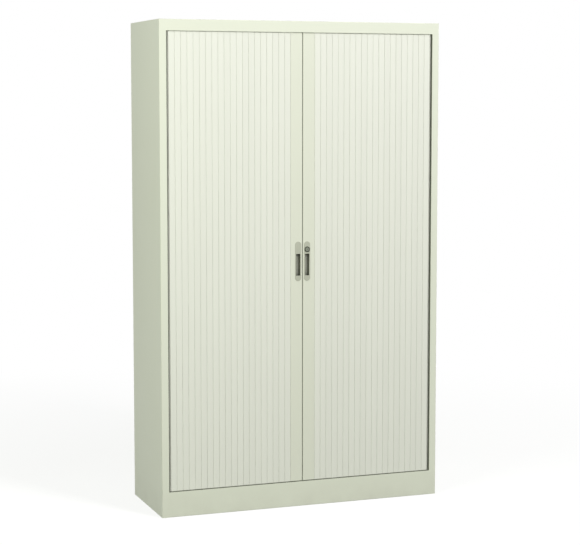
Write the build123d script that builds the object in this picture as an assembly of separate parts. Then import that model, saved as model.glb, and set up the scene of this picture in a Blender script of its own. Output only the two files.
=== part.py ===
from build123d import *

import os
from math import atan2, cos, degrees, pi, radians, sin

# Side-opening tambour cupboard, millimetres.
# Origin: centre of the footprint on the floor. +Z up, the doors face -Y, +X is the viewer's right.

# ---- carcass ----
width = 1200.0
depth = 430.0
height = 1980.0
sheet = 1.0                   # thickness of the folded steel
bend = 1.0                    # inner radius of a fold
stile = 29.0                  # width of the front post at each side
top_rail = 45.0               # height of the front rail above the doors
bottom_rail = 102.0           # height of the front rail below the doors
hem = 8.0                     # width of the doubled edge round the door opening
rear_flange = 20.0            # width of the side panels' rear fold
top_fold = 8.0                # height of the top panel's rear fold
rail_return = 25.0            # depth of the bottom rail's foot fold
fit = 0.2                     # gap between panels of the carcass
pan_flange = 30.0             # height of the base pan's folds
ceiling_flange = 20.0         # height of the top pan's folds

# ---- curtain and its tracks ----
curtain_recess = 6.0          # from the frame's face back to the slats' face
slat_pitch = 25.5
spare_slats = 2               # slats past the last whole one before the curtain's straight side
slat_depth = 7.0
slat_gap = 0.6                # open seam between two slats
slat_wall = 1.1
knuckle_bead = 1.05           # radius of the bead that hinges two slats
knuckle_play = 0.2
knuckle_wall = 0.85
neck = 0.8                    # thickness of the tongue that carries the bead
corner_radius = 32.0          # of the curtain's middle line, front and rear
channel_play = 1.0            # each side of a slat in its channel
track_fit = 0.5               # tracks to the carcass's inner faces
track_wall = 2.0
track_web = 2.0
mouth_sink = 2.0              # the channels' mouths lie this far behind the rails' edges
bottom_channel = 15.0         # height of the bottom track
top_channel = 18.0            # height of the top track
top_entry = 9.5               # how far the slats reach into the top track
ride = 0.3                    # running gap under slats and shoes
track_spare = 20.0            # track left over behind the open curtain's last slat

# ---- lead slats ----
lead_width = 52.0             # cupboard's middle to the first seam
lead_depth = 16.0
lead_wall = 1.2
lead_tube_end = 46.0          # cupboard's middle to the tube's outer side
meeting_gap = 3.0             # between the two lead slats
lead_lift = 1.0               # lead slat to each track
park_gap = 9.0                # opening's side to the lead slat's seam, fully open

# ---- shoes ----
shoe_clear = 0.6              # shoe tongue to each channel wall
shoe_fit = 0.3
shoe_plug = 10.0              # how far a shoe reaches into the tube
shoe_start = 5.0              # from the middle to the tongue
shoe_end = 40.0
shoe_top_reach = 14.5         # the top tongue's height above the mouth
stop_drop = 4.5               # height of the travel stop in the top track
stop_length = 8.0
stop_gap = 0.5

# ---- handle plates ----
plate_x = 19.5                # plate's middle line from the cupboard's middle
plate_width = 26.0
plate_height = 161.0
plate_z = 1012.0
plate_thick = 1.2
plate_edge = 0.5              # rounding of the plate's rim
cup_width = 18.0
cup_height = 89.0
cup_z = 997.5
cup_depth = 11.0
cup_wall = 1.2
cup_corner = 1.5
cut_clear = 0.4

# ---- lock ----
lock_z = 1060.0
bezel_radius = 12.0
bezel_thick = 1.5
barrel_radius = 9.5
barrel_tail = 5.0             # barrel behind the lead slat
plug_radius = 7.0
plug_clear = 0.05
plug_tail_radius = 4.0
keyway_width = 1.8
keyway_height = 9.0
keyway_depth = 8.0
lock_nut_radius = 13.0
lock_nut_thick = 3.0
hook_gap = 0.3                # barrel's end to the hook
hook_thick = 2.5
hook_hub = 8.5
hook_reach = 39.0
hook_nose = 6.5               # length of the nose along the arm
hook_nose_rise = 6.0
hook_arm_top = -1.0
hook_arm_bottom = -8.0
pin_radius = 2.5
pin_offset = 28.0             # lock's axis to the striker pin
pin_rise = 2.8
striker_width = 11.0
striker_height = 36.0
striker_thick = 1.5
screw_head_radius = 4.5
screw_head_thick = 2.5
screw_radius = 2.0
screw_depth = 8.0

# ---- inside ----
shelf_count = 4
shelf_pitch = 350.0
shelf_edge = 22.0
shelf_return = 12.0
shelf_end_gap = 2.8           # shelf to each liner
shelf_front = 1.5             # shelf's front edge behind the front corner's centre
slot_pitch = 50.0
slot_width = 12.0
slot_height = 4.0
slot_margin = 80.0            # lowest and highest slot from floor and ceiling
clip_inset = 52.0             # clip's middle from the shelf's front and rear edge
clip_width = 20.0
clip_plate = 1.5
clip_ledge = 12.0
clip_up = 16.0
clip_down = 4.0
clip_hook_width = 9.0
clip_hook_height = 2.0
clip_hook_rise = 8.0
clip_hook_reach = 1.8
liner_lip = 12.0              # each way of the liner's slanted front lip
liner_flange = 20.0
tray_chamfer = 27.0

# ---- levelling feet ----
foot_inset_x = 60.0           # foot's middle from the cupboard's side
foot_inset_y = 65.0           # foot's middle from its front and back
foot_rise = 3.0               # pad above the floor when screwed right in
foot_travel = 15.0
pad_radius = 20.0
pad_height = 8.0
stud_radius = 5.0
stud_top = 70.0
stud_clear = 0.05
bracket_half = 26.0
bracket_plate = 2.0
bracket_z = 34.0
nut_flats = 17.0
nut_height = 8.0
access_radius = 10.0
cap_rim = 3.0
cap_thick = 1.5
cap_stub = 4.0
cap_fit = 0.2

# ---- rivets of the back panel ----
rivet_count = 8
rivet_inset = 60.0            # outermost rivet from the cupboard's side
rivet_radius = 2.0
rivet_clear = 0.1
rivet_head_radius = 4.0
rivet_head = 0.9
rivet_tail = 1.0

# ---- places worked out from the sizes ----
half_width = width / 2
half_depth = depth / 2
opening_half = half_width - stile
opening_top = height - top_rail
floor_z = bottom_rail - mouth_sink
base_z = bottom_rail - mouth_sink - bottom_channel
ceiling_z = opening_top + mouth_sink + top_channel
channel_half = slat_depth / 2 + channel_play
track_half = channel_half + track_wall
front_line = -half_depth + curtain_recess + slat_depth / 2
side_line = half_width - sheet - track_fit - track_half
rear_line = half_depth - 2 * sheet - track_fit - track_half
corner_x = side_line - corner_radius
corner_front = front_line + corner_radius
corner_rear = rear_line - corner_radius
liner_x = side_line - track_half - fit
liner_rear = rear_line - track_half - fit
inner_back_face = liner_rear - 2 * sheet
quarter_turn = corner_radius * pi / 2
door_travel = opening_half - lead_width - park_gap
slat_count = int((corner_x + quarter_turn - lead_width) / slat_pitch) + spare_slats
open_end = lead_width + door_travel + slat_count * slat_pitch
tail_start = corner_x + 2 * quarter_turn + corner_rear - corner_front
track_tail = open_end - tail_start + track_spare
foot_x = half_width - foot_inset_x
foot_y = half_depth - foot_inset_y
rivet_span = width - 2 * rivet_inset
clip_y = (corner_rear - corner_front) / 2 - shelf_front - clip_inset
shelf_middle = (corner_rear + corner_front) / 2
channel_floor = base_z + track_web
channel_ceiling = ceiling_z - track_web
slat_bottom = channel_floor + ride
slat_top = opening_top + mouth_sink + top_entry
lead_bottom = base_z + bottom_channel + lead_lift
lead_top = opening_top + mouth_sink - lead_lift
lead_front = front_line - slat_depth / 2
lead_back = lead_front + lead_depth
pan_front = -half_depth + 2 * sheet + fit
back_face = half_depth - sheet
bezel_y = lead_front - plate_thick
barrel_back = lead_back + barrel_tail
hook_y = barrel_back + hook_gap


# ---- helpers ----
def block(x, y, z):
    """Return a box from three (low, high) pairs."""
    size = [high - low for low, high in (x, y, z)]
    middle = [(high + low) / 2 for low, high in (x, y, z)]
    return Pos(*middle) * Box(*size)


def around(middle, extent):
    """Return the (low, high) pair of an extent about its middle."""
    return middle - extent / 2, middle + extent / 2


def rod(x, z, radius, y):
    """Return a cylinder along Y from a (low, high) pair of y."""
    length = y[1] - y[0]
    return Pos(x, (y[0] + y[1]) / 2, z) * Rot(90, 0, 0) * Cylinder(radius, length)


def post(x, y, radius, z):
    """Return an upright cylinder from a (low, high) pair of z."""
    return Pos(x, y, (z[0] + z[1]) / 2) * Cylinder(radius, z[1] - z[0])


def prism(section, z):
    """Extrude a plan section over a (low, high) pair of z."""
    return extrude(Pos(0, 0, z[0]) * section, amount=z[1] - z[0])


def left_offset(points, distance):
    """Return an open polyline moved to the left of its walk, with mitred corners."""
    steps = [(b - a).normalized() for a, b in zip(points, points[1:])]
    normals = [Vector(-step.Y, step.X) for step in steps]
    moved = [points[0] + normals[0] * distance]
    for point, before, after in zip(points[1:-1], normals, normals[1:]):
        moved.append(point + (before + after) * (distance / (1 + before.dot(after))))
    return moved + [points[-1] + normals[-1] * distance]


def bent_sheet(corners, thickness=sheet):
    """Return the section of a folded sheet: its outer side runs through the corners,
    and its thickness lies to the left of the walk."""
    points = [Vector(*corner) for corner in corners]
    steps = [b - a for a, b in zip(points, points[1:])]
    outer, inner = [], []
    for before, after in zip(steps, steps[1:]):
        turns_left = before.cross(after).Z > 0
        outer.append(bend + thickness if turns_left else bend)
        inner.append(bend if turns_left else bend + thickness)
    radii = [0, *outer, 0, 0, *reversed(inner), 0]
    outline = points + left_offset(points, thickness)[::-1]
    return make_face(FilletPolyline(*outline, radius=radii, close=True))


def mirrored(shape):
    """Return the shape on the other side of the cupboard."""
    return mirror(shape, about=Plane.YZ)


def across(section, half):
    """Extrude a (y, z) section to both sides of the cupboard's middle."""
    return extrude(Plane.YZ * section, amount=half, both=True)


def save(name, shape):
    """Write one node."""
    export_step(shape, f"parts/{name}.step")


def save_pair(name, shape):
    """Write a left node and its mirrored right node."""
    save(f"{name}_left", shape)
    save(f"{name}_right", mirrored(shape))


# ---- carcass ----
def side_panel():
    """Left side: rear fold, side and front stile with its doubled edge."""
    edge = -opening_half
    section = bent_sheet([
        (-half_width + rear_flange, half_depth),
        (-half_width, half_depth),
        (-half_width, -half_depth),
        (edge, -half_depth),
    ])
    front = -half_depth + sheet
    doubled = block((edge - hem, edge), (front, front + sheet), (0, height - sheet))
    return prism(section, (0, height - sheet)) + doubled


def top_panel():
    """Top sheet with the front rail and the rear fold."""
    section = bent_sheet([
        (half_depth, height - top_fold),
        (half_depth, height),
        (-half_depth, height),
        (-half_depth, opening_top),
    ])
    plate = extrude(
        Pos(0, 0, height - sheet) * RectangleRounded(width, depth, bend + sheet), amount=sheet
    )
    front = -half_depth + sheet
    doubled = block(
        (-opening_half, opening_half), (front, front + sheet), (opening_top, opening_top + hem)
    )
    inside = plate & block(
        (-half_width, half_width),
        (-half_depth + bend + sheet, half_depth - bend - sheet),
        (height - sheet, height),
    )
    ends = plate - block(
        (-opening_half, opening_half), (-depth, depth), (height - sheet, height)
    )
    return across(section, opening_half) + inside + ends + doubled


def bottom_rail_panel():
    """Front rail under the doors, down to the floor, with its foot fold."""
    section = bent_sheet([
        (-half_depth, bottom_rail),
        (-half_depth, 0),
        (-half_depth + rail_return, 0),
    ])
    front = -half_depth + sheet
    doubled = block(
        (-opening_half, opening_half), (front, front + sheet), (bottom_rail - hem, bottom_rail)
    )
    return across(section, opening_half) + doubled


def pan(face_z, way, flange):
    """Sheet that carries the tracks, with front and rear folds away from the doors.
    The sheet's inner face is at face_z; way is -1 for the base and +1 for the ceiling."""
    plate_z = sorted((face_z, face_z + way * sheet))
    flange_z = sorted((face_z, face_z + way * flange))
    rear = back_face - sheet - fit
    half = half_width - sheet - fit
    tab_half = opening_half - stile / 4
    tab_front = -half_depth + sheet + fit
    plate = block((-half, half), (pan_front, rear), plate_z)
    tab = block((-tab_half, tab_half), (tab_front, pan_front), plate_z)
    front_fold = block((-tab_half, tab_half), (tab_front, tab_front + sheet), flange_z)
    rear_fold = block((-tab_half, tab_half), (rear - sheet, rear), flange_z)
    return plate + tab + front_fold + rear_fold


def rivet_places():
    """Return the (x, z) of the back panel's rivets, in a row at each pan."""
    step = rivet_span / (rivet_count - 1)
    rows = (base_z - pan_flange / 2, ceiling_z + ceiling_flange / 2)
    return [(-rivet_span / 2 + n * step, z) for z in rows for n in range(rivet_count)]


def rivet_holes():
    """Cutters for the rivets' holes."""
    y = (back_face - 3 * sheet, half_depth)
    return [rod(x, z, rivet_radius + rivet_clear, y) for x, z in rivet_places()]


def back_rivets():
    """Blind rivets that hold the back panel to both pans."""
    back = back_face
    front = back - 2 * sheet - fit
    return Compound(children=[
        rod(x, z, rivet_head_radius, (back, back + rivet_head))
        + rod(x, z, rivet_radius, (front - rivet_tail, back + rivet_head))
        for x, z in rivet_places()
    ])


def access_holes(z):
    """Cutters over the levelling feet, for a screwdriver from inside."""
    return [post(x, y, access_radius, z) for x, y in foot_places()]


def base_pan():
    """Pan under the bottom tracks, with holes over the feet and for the rivets."""
    holes = access_holes((base_z - sheet, base_z))
    return pan(base_z, -1, pan_flange) - holes - rivet_holes()


def top_pan():
    """Pan that the top tracks hang from."""
    return pan(ceiling_z, 1, ceiling_flange) - rivet_holes()


def back_panel():
    """Outer back, inside the side panels' rear folds."""
    half = half_width - sheet - bend - fit
    y = (back_face - sheet, back_face)
    return block((-half, half), y, (0, height - sheet - bend - fit)) - rivet_holes()


def clip_places():
    """Return the y of the front and rear clips, and of the slots they hook into."""
    return shelf_middle - clip_y, shelf_middle + clip_y


def slot_heights():
    """Return the heights of the liners' slots, on the grid of the lowest shelf's clips."""
    first = ledge_height(1) + clip_hook_rise
    low = first - slot_pitch * ((first - floor_z - slot_margin) // slot_pitch)
    count = int((ceiling_z - slot_margin - low) // slot_pitch) + 1
    return [low + n * slot_pitch for n in range(count)]


def liner():
    """Left inner side between curtain and shelves, slanted past both corners, slotted."""
    section = bent_sheet([
        (-corner_x + liner_flange, liner_rear),
        (-corner_x, liner_rear),
        (-liner_x, corner_rear),
        (-liner_x, corner_front),
        (-liner_x + liner_lip, corner_front - liner_lip),
    ])
    x = around(-liner_x + sheet / 2, 2 * sheet)
    slots = [
        block(x, around(y, slot_width), around(z, slot_height))
        for y in clip_places()
        for z in slot_heights()
    ]
    return prism(section, (base_z, ceiling_z)) - slots


def inner_back():
    """Back of the shelf space, in front of the curtains' tails."""
    half = corner_x - sheet
    y = (inner_back_face, inner_back_face + sheet)
    return block((-half, half), y, (base_z, ceiling_z))


def floor_tray():
    """Raised floor of the shelf space, folded down to the base pan."""
    front = front_line + track_half + fit
    rear = inner_back_face - fit
    half = liner_x - sheet - 2 * fit
    outline = Rectangle(2 * half, rear - front)
    outline = Pos(0, (front + rear) / 2) * chamfer(outline.vertices(), tray_chamfer)
    hollow = offset(outline, -sheet, kind=Kind.INTERSECTION)
    tray = prism(outline, (base_z, floor_z)) - prism(hollow, (base_z, floor_z - sheet))
    return tray - access_holes((floor_z - sheet, floor_z))


def access_caps():
    """Plastic plugs over the floor's access holes."""
    return Compound(children=[
        post(x, y, access_radius + cap_rim, (floor_z, floor_z + cap_thick))
        + post(x, y, access_radius - cap_fit, (floor_z - cap_stub, floor_z))
        for x, y in foot_places()
    ])


# ---- tracks ----
def ribbon(half):
    """Plan section of the left curtain's way, widened by half to each side."""
    y_middle = (front_line + rear_line) / 2
    length, breadth = 2 * side_line, rear_line - front_line
    outer = RectangleRounded(length + 2 * half, breadth + 2 * half, corner_radius + half)
    inner = RectangleRounded(length - 2 * half, breadth - 2 * half, corner_radius - half)
    ring = Pos(0, y_middle) * (outer - inner)
    left = Pos(-half_width, 0) * Rectangle(width - fit, 2 * depth)
    tail_x = -corner_x + track_tail
    beyond = Pos((tail_x + half_width) / 2, depth / 2) * Rectangle(half_width - tail_x, depth)
    return (ring & left) - beyond


def track(face_z, way, channel):
    """Channel of the left curtain. Its web is on face_z, and way points to its mouth."""
    body = prism(ribbon(track_half), sorted((face_z, face_z + way * channel)))
    groove_z = sorted((face_z + way * track_web, face_z + way * channel))
    return body - prism(ribbon(channel_half), groove_z)


def track_stops():
    """Blocks in the top tracks that end the lead slats' travel."""
    inner = shoe_end + door_travel + stop_gap
    stop = block(
        (-inner - stop_length, -inner),
        around(front_line, 2 * channel_half - 2 * shoe_fit),
        (channel_ceiling - stop_drop, channel_ceiling),
    )
    return Compound(children=[stop, mirrored(stop)])


# ---- curtain ----
def path_point(way):
    """Return (x, y) on the left curtain's middle line, a way along it from the front's middle."""
    if way < corner_x:
        return Vector(-way, front_line)
    if way < corner_x + quarter_turn:
        turn = (way - corner_x) / corner_radius
        return Vector(
            -corner_x - corner_radius * sin(turn), corner_front - corner_radius * cos(turn)
        )
    return Vector(-side_line, corner_front + way - corner_x - quarter_turn)


def hinge_points():
    """Return the slats' hinge points on the closed curtain, one pitch apart in a straight line."""
    ways = [lead_width]
    for _ in range(slat_count):
        low, high = ways[-1], ways[-1] + 2 * slat_pitch
        while high - low > 1e-6:
            middle = (low + high) / 2
            near = (path_point(middle) - path_point(ways[-1])).length < slat_pitch
            low, high = (middle, high) if near else (low, middle)
        ways.append(low)
    return [path_point(way) for way in ways]


def flat(u, v):
    """Return a rectangle from two (low, high) pairs."""
    return Pos((u[0] + u[1]) / 2, (v[0] + v[1]) / 2) * Rectangle(u[1] - u[0], v[1] - v[0])


def bead(u, root):
    """Tongue from root with the hinge bead at (u, 0)."""
    return flat((root, u), (-neck / 2, neck / 2)) + Pos(u, 0) * Circle(knuckle_bead)


def socket(u):
    """Hook round the neighbour's bead at (u, 0), open to the side it turns to."""
    inner = knuckle_bead + knuckle_play
    reach = 4 * inner
    rays = [(u + reach * cos(radians(a)), reach * sin(radians(a))) for a in (155, 251)]
    mouth = make_face(Polyline((u, 0), *rays, close=True))
    return Pos(u, 0) * (Circle(inner + knuckle_wall) - Circle(inner)) - mouth


def slat_section():
    """Section of one slat: u along the curtain, v towards the front, hinges at u = +-pitch/2."""
    half = slat_pitch / 2
    face_v = (slat_depth / 2 - slat_wall, slat_depth / 2)
    face = flat((-half + slat_gap / 2, half - slat_gap / 2), face_v)
    root = half - 4 * knuckle_bead
    leg = flat((root - neck, root), (-neck / 2, face_v[1]))
    post_u = -half + slat_gap / 2 + neck / 2
    web = flat((post_u, post_u + neck), (knuckle_bead, face_v[1]))
    return face + leg + bead(half, root - neck) + web + socket(-half)


def slats():
    """Separate slats of the left curtain, closed: along the front and round the corner."""
    section = slat_section()
    solids = []
    points = hinge_points()
    for start, end in zip(points, points[1:]):
        middle = (start + end) / 2
        angle = degrees(atan2(end.Y - start.Y, end.X - start.X))
        placed = Pos(middle.X, middle.Y, slat_bottom) * Rot(0, 0, angle) * section
        solids.append(extrude(placed, amount=slat_top - slat_bottom))
    return Compound(children=solids)


# ---- lead slats ----
def lead_section():
    """Section of a lead slat: u from the cupboard's middle, v towards the front."""
    face_v = slat_depth / 2
    u = (meeting_gap / 2, lead_tube_end)
    tube = flat(u, (face_v - lead_depth, face_v))
    hollow = flat(
        (u[0] + lead_wall, u[1] - lead_wall),
        (face_v - lead_depth + lead_wall, face_v - lead_wall),
    )
    lip = flat((lead_tube_end - lead_wall, lead_width - slat_gap / 2), (face_v - slat_wall, face_v))
    return tube - hollow + lip + bead(lead_width, lead_tube_end - lead_wall)


def cup_cut(side):
    """Cutter for the finger cup in a lead slat's front wall."""
    return block(
        around(side * plate_x, cup_width + 2 * cup_wall + cut_clear),
        (lead_front - sheet, lead_back - 2 * lead_wall),
        around(cup_z, cup_height + 2 * cup_wall + cut_clear),
    )


def lead_left():
    """Left lead slat with the cup's cut-out."""
    section = Pos(0, front_line) * Rot(0, 0, 180) * lead_section()
    return prism(section, (lead_bottom, lead_top)) - cup_cut(-1)


def lead_right():
    """Right lead slat, which also has the lock barrel's holes."""
    barrel = rod(plate_x, lock_z, barrel_radius + cut_clear, (lead_front - sheet, lead_back + sheet))
    return mirrored(lead_left()) - barrel


def shoes():
    """Nylon shoes in the left lead slat's ends, running in both channels."""
    inset = lead_wall + shoe_fit
    plug_x = (-lead_tube_end + inset, -meeting_gap / 2 - inset)
    plug_y = (lead_front + inset, lead_back - inset)
    cap_x = (-lead_tube_end, -meeting_gap / 2)
    tongue_x = (-shoe_end, -shoe_start)
    tongue_y = around(front_line, 2 * (channel_half - shoe_clear))
    cap_y = (lead_front + lead_wall, lead_back)
    bottom = block(plug_x, plug_y, (lead_bottom, lead_bottom + shoe_plug))
    bottom += block(cap_x, cap_y, (lead_bottom - lead_lift + shoe_fit, lead_bottom))
    bottom += block(tongue_x, tongue_y, (slat_bottom, lead_bottom))
    top = block(plug_x, plug_y, (lead_top - shoe_plug, lead_top))
    top += block(cap_x, cap_y, (lead_top, lead_top + lead_lift - shoe_fit))
    top += block(tongue_x, tongue_y, (lead_top, lead_top + lead_lift + shoe_top_reach))
    return Compound(children=[bottom, top])


# ---- handle plates ----
def handle_plate(side):
    """Rounded plate on a lead slat, with its finger cup."""
    x = side * plate_x
    outline = Plane.XZ * Pos(x, plate_z) * SlotOverall(plate_height, plate_width, rotation=90)
    plate = Pos(0, lead_front, 0) * extrude(outline, amount=plate_thick)
    rim = plate.faces().sort_by(Axis.Y)[0].edges()
    plate = fillet(rim, plate_edge)
    cup = block(
        around(x, cup_width + 2 * cup_wall),
        (lead_front, lead_front + cup_depth + cup_wall),
        around(cup_z, cup_height + 2 * cup_wall),
    )
    mouth = Plane.XZ * Pos(x, cup_z) * RectangleRounded(cup_width, cup_height, cup_corner)
    hollow_front = lead_front - plate_thick - sheet
    hollow = Pos(0, hollow_front, 0) * extrude(mouth, amount=-(lead_front + cup_depth - hollow_front))
    return plate + cup - hollow


def plate_right():
    """Right plate, with the lock barrel's hole."""
    hole = rod(plate_x, lock_z, barrel_radius + cut_clear, (bezel_y - sheet, lead_front + sheet))
    return handle_plate(1) - hole


# ---- lock ----
def lock_body():
    """Fixed barrel with its bezel."""
    body = rod(plate_x, lock_z, bezel_radius, (bezel_y - bezel_thick, bezel_y))
    body += rod(plate_x, lock_z, barrel_radius, (bezel_y, barrel_back))
    bore = rod(plate_x, lock_z, plug_radius + plug_clear, (bezel_y - bezel_thick, barrel_back))
    return body - bore


def lock_nut():
    """Ring nut behind the right lead slat."""
    y = (lead_back, lead_back + lock_nut_thick)
    return rod(plate_x, lock_z, lock_nut_radius, y) - rod(plate_x, lock_z, barrel_radius, y)


def lock_plug():
    """Turning plug with an upright keyway and a tail for the hook."""
    front = bezel_y - bezel_thick
    plug = rod(plate_x, lock_z, plug_radius, (front, barrel_back))
    plug += rod(plate_x, lock_z, plug_tail_radius, (barrel_back, hook_y + hook_thick))
    keyway = block(
        around(plate_x, keyway_width), (front, front + keyway_depth), around(lock_z, keyway_height)
    )
    end = hook_y + hook_thick
    return plug - keyway - rod(plate_x, lock_z, screw_radius, (end - screw_depth, end))


def lock_hook():
    """Hook on the plug's tail, hanging down when unlocked, its nose towards the left door."""
    hub = Circle(hook_hub)
    arm_half = (hook_arm_bottom + hook_arm_top) / 2
    arm = flat((0, hook_reach), (hook_arm_bottom, hook_arm_top))
    nose = flat((hook_reach - hook_nose, hook_reach), (arm_half, hook_nose_rise))
    outline = hub + arm + nose - Circle(plug_tail_radius + plug_clear)
    # u runs along the arm, down; v towards the nose, to the left
    place = Plane(origin=(plate_x, hook_y, lock_z), x_dir=(0, 0, -1), z_dir=(0, 1, 0))
    return extrude(place * outline, amount=hook_thick)


def hook_screw():
    """Screw that holds the hook on the plug."""
    end = hook_y + hook_thick
    head = rod(plate_x, lock_z, screw_head_radius, (end, end + screw_head_thick))
    return head + rod(plate_x, lock_z, screw_radius - plug_clear, (end - screw_depth + ride, end))


def striker():
    """Plate with the pin that the hook catches, behind the left lead slat."""
    pin_x = plate_x - pin_offset
    pin_z = lock_z + pin_rise
    plate_middle = -meeting_gap / 2 - striker_width / 2
    plate = block(
        around(plate_middle, striker_width),
        (lead_back, lead_back + striker_thick),
        around(lock_z, striker_height),
    )
    return plate + rod(pin_x, pin_z, pin_radius, (lead_back, hook_y + hook_thick + ride))


# ---- shelves ----
def ledge_height(number):
    """Height of the clips' ledges under a shelf, counted from 1 at the bottom."""
    return floor_z + number * shelf_pitch - shelf_edge


def shelf(number):
    """Folded shelf with its edges down and a return at front and rear."""
    top = floor_z + number * shelf_pitch
    low = top - shelf_edge
    half = liner_x - sheet - shelf_end_gap
    front = corner_front + shelf_front
    rear = corner_rear - shelf_front
    body = block((-half, half), (front, rear), (low, top))
    inner = block((-half + sheet, half - sheet), (front + sheet, rear - sheet), (low, top - sheet))
    returns = [
        block((-half + sheet, half - sheet), y, (low, low + sheet))
        for y in ((front, front + shelf_return), (rear - shelf_return, rear))
    ]
    return body - inner + returns


def shelf_clips():
    """Clips hooked into the liners' slots, four under each shelf."""
    clips = []
    wall = -liner_x + sheet
    for number in range(1, shelf_count + 1):
        ledge = ledge_height(number)
        for y in clip_places():
            span = around(y, clip_width)
            plate = block((wall, wall + clip_plate), span, (ledge - clip_down, ledge + clip_up))
            foot = block((wall, wall + clip_ledge), span, (ledge - clip_plate, ledge))
            hook = block(
                (-liner_x - clip_hook_reach, wall),
                around(y, clip_hook_width),
                around(ledge + clip_hook_rise, clip_hook_height),
            )
            clip = plate + foot + hook
            clips += [clip, mirrored(clip)]
    return Compound(children=clips)


# ---- levelling feet ----
def foot_places():
    """Return the (x, y) of the four feet."""
    return [(x, y) for y in (-foot_y, foot_y) for x in (-foot_x, foot_x)]


def foot():
    """Pad and threaded stud in one, at the middle, screwed right in."""
    pad = post(0, 0, pad_radius, (foot_rise, foot_rise + pad_height))
    rim = pad.edges().sort_by(Axis.Z)[-1]
    pad = chamfer(rim, pad_height / 2)
    return pad + post(0, 0, stud_radius, (foot_rise + pad_height, stud_top))


def foot_bracket(way):
    """Folded bracket under the base pan, its web on the side away from the floor's edge."""
    low = bracket_z
    top = base_z - sheet
    web = way * bracket_half
    corners = [(-web, low), (web, low), (web, top), (-web, top)]
    if way < 0:
        corners = corners[::-1]
    section = bent_sheet(corners, bracket_plate)
    body = across(section, bracket_half)
    return body - post(0, 0, stud_radius + 1, (low, low + bracket_plate)) - post(
        0, 0, access_radius, (top - bracket_plate, top)
    )


def foot_nut():
    """Nut welded on the bracket."""
    low = bracket_z + bracket_plate
    outline = RegularPolygon(nut_flats / 2, 6, major_radius=False) - Circle(stud_radius + stud_clear)
    return prism(outline, (low, low + nut_height))


def write_feet():
    """Write the four feet and the groups of their brackets and nuts."""
    names = ["front_left", "front_right", "rear_left", "rear_right"]
    for name, (x, y) in zip(names, foot_places()):
        save(f"foot_{name}", Pos(x, y, 0) * foot())
    brackets = [Pos(x, y, 0) * foot_bracket(1 if y < 0 else -1) for x, y in foot_places()]
    save("foot_brackets", Compound(children=brackets))
    save("foot_nuts", Compound(children=[Pos(x, y, 0) * foot_nut() for x, y in foot_places()]))


def main():
    """Write every node."""
    os.makedirs("parts", exist_ok=True)
    save_pair("side_panel", side_panel())
    save("top_panel", top_panel())
    save("bottom_rail", bottom_rail_panel())
    save("base_pan", base_pan())
    save("top_pan", top_pan())
    save("back_panel", back_panel())
    save("back_rivets", back_rivets())
    save_pair("liner", liner())
    save("inner_back", inner_back())
    save("floor_tray", floor_tray())
    save("access_caps", access_caps())
    save_pair("track_bottom", track(base_z, 1, bottom_channel))
    save_pair("track_top", track(ceiling_z, -1, top_channel))
    save("track_stops", track_stops())
    save_pair("slats", slats())
    save("lead_left", lead_left())
    save("lead_right", lead_right())
    save_pair("shoes", shoes())
    save("plate_left", handle_plate(-1))
    save("plate_right", plate_right())
    save("striker", striker())
    save("lock_body", lock_body())
    save("lock_nut", lock_nut())
    save("lock_plug", lock_plug())
    save("lock_hook", lock_hook())
    save("hook_screw", hook_screw())
    for number in range(1, shelf_count + 1):
        save(f"shelf_{number}", shelf(number))
    save("shelf_clips", shelf_clips())
    write_feet()


main()
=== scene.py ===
"""Looks of a roll front tool cabinet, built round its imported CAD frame.

Metres, +Z up. The doors face -Y and +X is the viewer's right.
"""

import logging
import math
import random
from collections.abc import Callable, Iterable, Sequence
from dataclasses import dataclass
from enum import Enum

import bmesh
import bpy
from bmesh.types import BMEdge, BMesh, BMFace, BMVert
from bpy.types import Material, Node, NodeSocket, NodeTree, Object
from mathutils import Matrix, Vector


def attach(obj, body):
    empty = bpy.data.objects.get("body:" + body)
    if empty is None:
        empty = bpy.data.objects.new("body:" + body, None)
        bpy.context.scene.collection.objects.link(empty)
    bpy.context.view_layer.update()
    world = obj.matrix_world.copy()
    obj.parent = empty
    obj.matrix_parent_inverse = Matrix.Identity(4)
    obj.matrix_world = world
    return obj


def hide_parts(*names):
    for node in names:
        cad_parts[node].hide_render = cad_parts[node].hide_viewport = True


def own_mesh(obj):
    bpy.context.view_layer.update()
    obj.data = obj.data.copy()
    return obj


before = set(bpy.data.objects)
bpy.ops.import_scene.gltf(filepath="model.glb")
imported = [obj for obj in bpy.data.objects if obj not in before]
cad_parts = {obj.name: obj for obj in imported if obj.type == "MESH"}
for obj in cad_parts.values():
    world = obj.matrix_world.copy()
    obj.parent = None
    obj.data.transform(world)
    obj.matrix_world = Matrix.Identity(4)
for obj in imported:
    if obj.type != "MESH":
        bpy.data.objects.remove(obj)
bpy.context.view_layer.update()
log = logging.getLogger("roll_front_cabinet")

Colour = tuple[float, float, float]
Place = tuple[float, float, float]
Span = tuple[float, float]
Sockets = dict[str, NodeSocket]

SMOOTH_ANGLE = math.radians(32)
DUST_HEIGHT = 0.11
DRILL_STEPS = 48
DRILL_START = -0.25
DRILL_REACH = 0.1
FOOT_X = 0.54
FOOT_ROWS = (("front", -0.15), ("rear", 0.15))


# ---- shared choices ----
class Side(Enum):
    """Door of the cabinet, with the sign of its X."""

    LEFT = -1
    RIGHT = 1

    @property
    def word(self) -> str:
        """Name of the side in node and piece names."""
        return self.name.lower()

    @property
    def body(self) -> str:
        """Body that the side's door pieces ride on."""
        return f"{self.word}_door"


class Slot(Enum):
    """Material slot of the record."""

    PAINT = "carcass_paint"
    CURTAIN = "curtain_plastic"
    TRACK = "track_plastic"
    PLATE = "plate_plastic"
    LOCK = "lock_metal"
    ZINC = "zinc_steel"


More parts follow.
